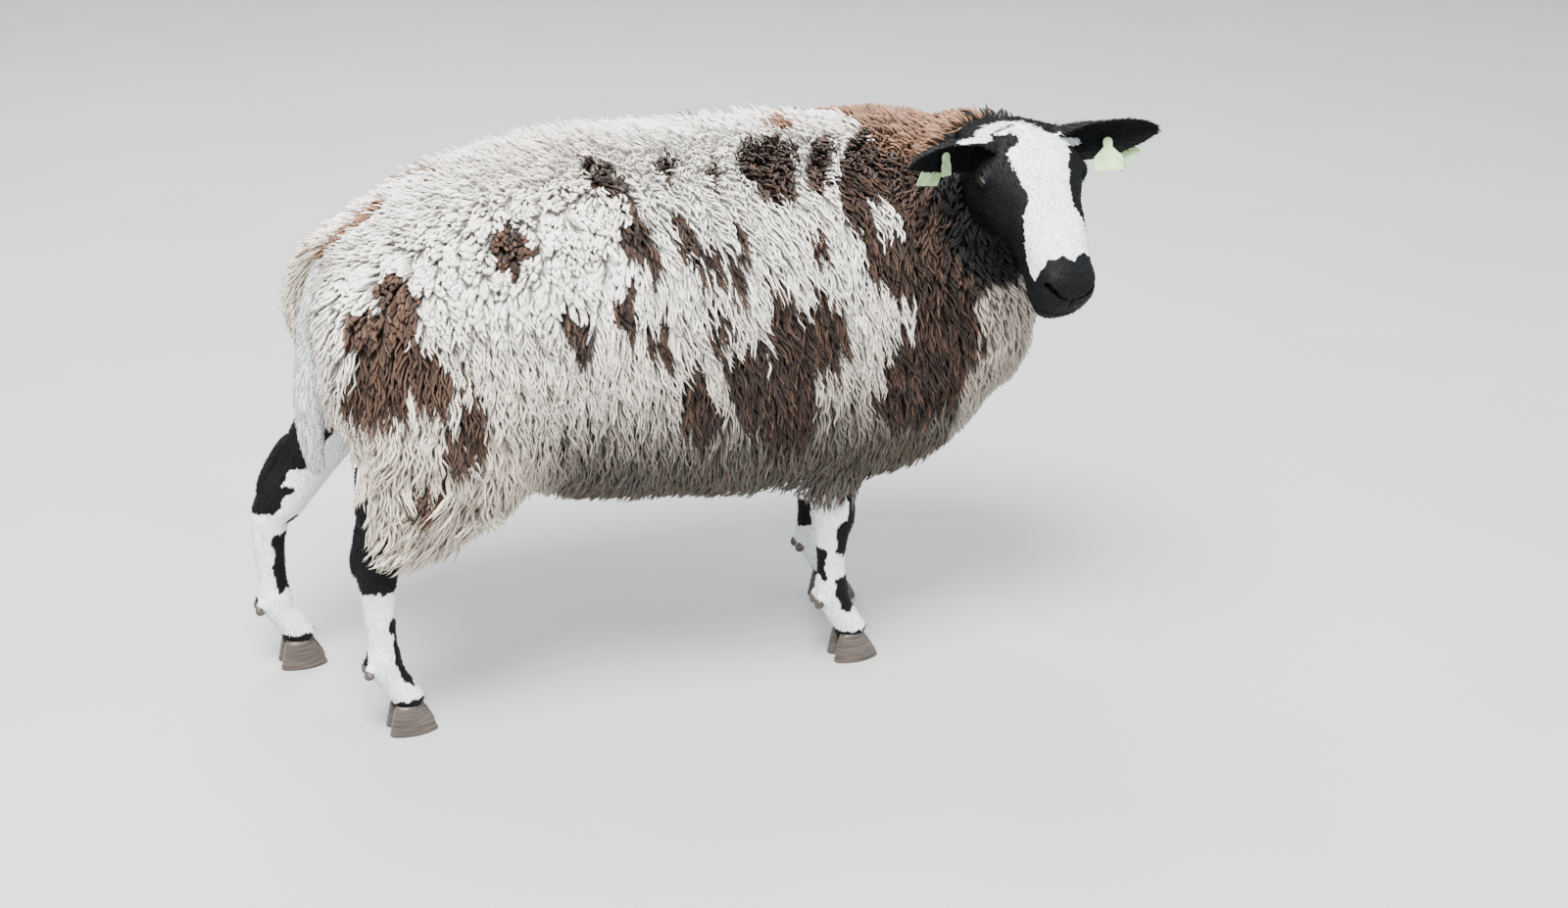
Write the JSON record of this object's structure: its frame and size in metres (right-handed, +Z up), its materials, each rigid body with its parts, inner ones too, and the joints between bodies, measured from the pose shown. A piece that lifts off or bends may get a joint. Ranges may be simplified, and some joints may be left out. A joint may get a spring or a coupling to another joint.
{
  "type": "spotted sheep",
  "caption": "Life-size spotted sheep with a thick clumped fleece, standing still with its head turned to its right and a flag tag in each ear.",
  "frame": {"origin": "middle of the bounding box on the floor, under the trunk", "axes": "+X along the trunk towards the chest, +Y to the left of the animal, +Z up; the head is turned towards -Y"},
  "size_m": [1.128, 0.545, 0.7452],
  "materials": {
    "fleece": "matte wool, creamy white with dark brown spots",
    "neck_fleece": "matte wool, dark brown",
    "face_hair": "short hair, black with a white blaze",
    "leg_hair": "short hair, white with black patches",
    "eye": "wet and glossy",
    "horn": "satin hoof horn",
    "tag": "pale yellow-green, satin"
  },
  "bodies": {
    "root": {"claw_fore_left_inner": "horn", "claw_fore_left_outer": "horn", "claw_fore_right_inner": "horn", "claw_fore_right_outer": "horn", "claw_hind_left_inner": "horn", "claw_hind_left_outer": "horn", "claw_hind_right_inner": "horn", "claw_hind_right_outer": "horn", "dewclaw_fore_left_inner": "horn", "dewclaw_fore_left_outer": "horn", "dewclaw_fore_right_inner": "horn", "dewclaw_fore_right_outer": "horn", "dewclaw_hind_left_inner": "horn", "dewclaw_hind_left_outer": "horn", "dewclaw_hind_right_inner": "horn", "dewclaw_hind_right_outer": "horn", "ear_left": "face_hair", "ear_right": "face_hair", "eye_left": "eye", "eye_right": "eye", "head": "face_hair", "neck": "neck_fleece", "shank_fore_left": "leg_hair", "shank_fore_right": "leg_hair", "shank_hind_left": "leg_hair", "shank_hind_right": "leg_hair", "tag_left_back": "tag", "tag_left_front": "tag", "tag_right_back": "tag", "tag_right_front": "tag", "tail": "leg_hair", "thigh_left": "fleece", "thigh_right": "fleece", "torso": "fleece"}
  },
  "joints": []
}
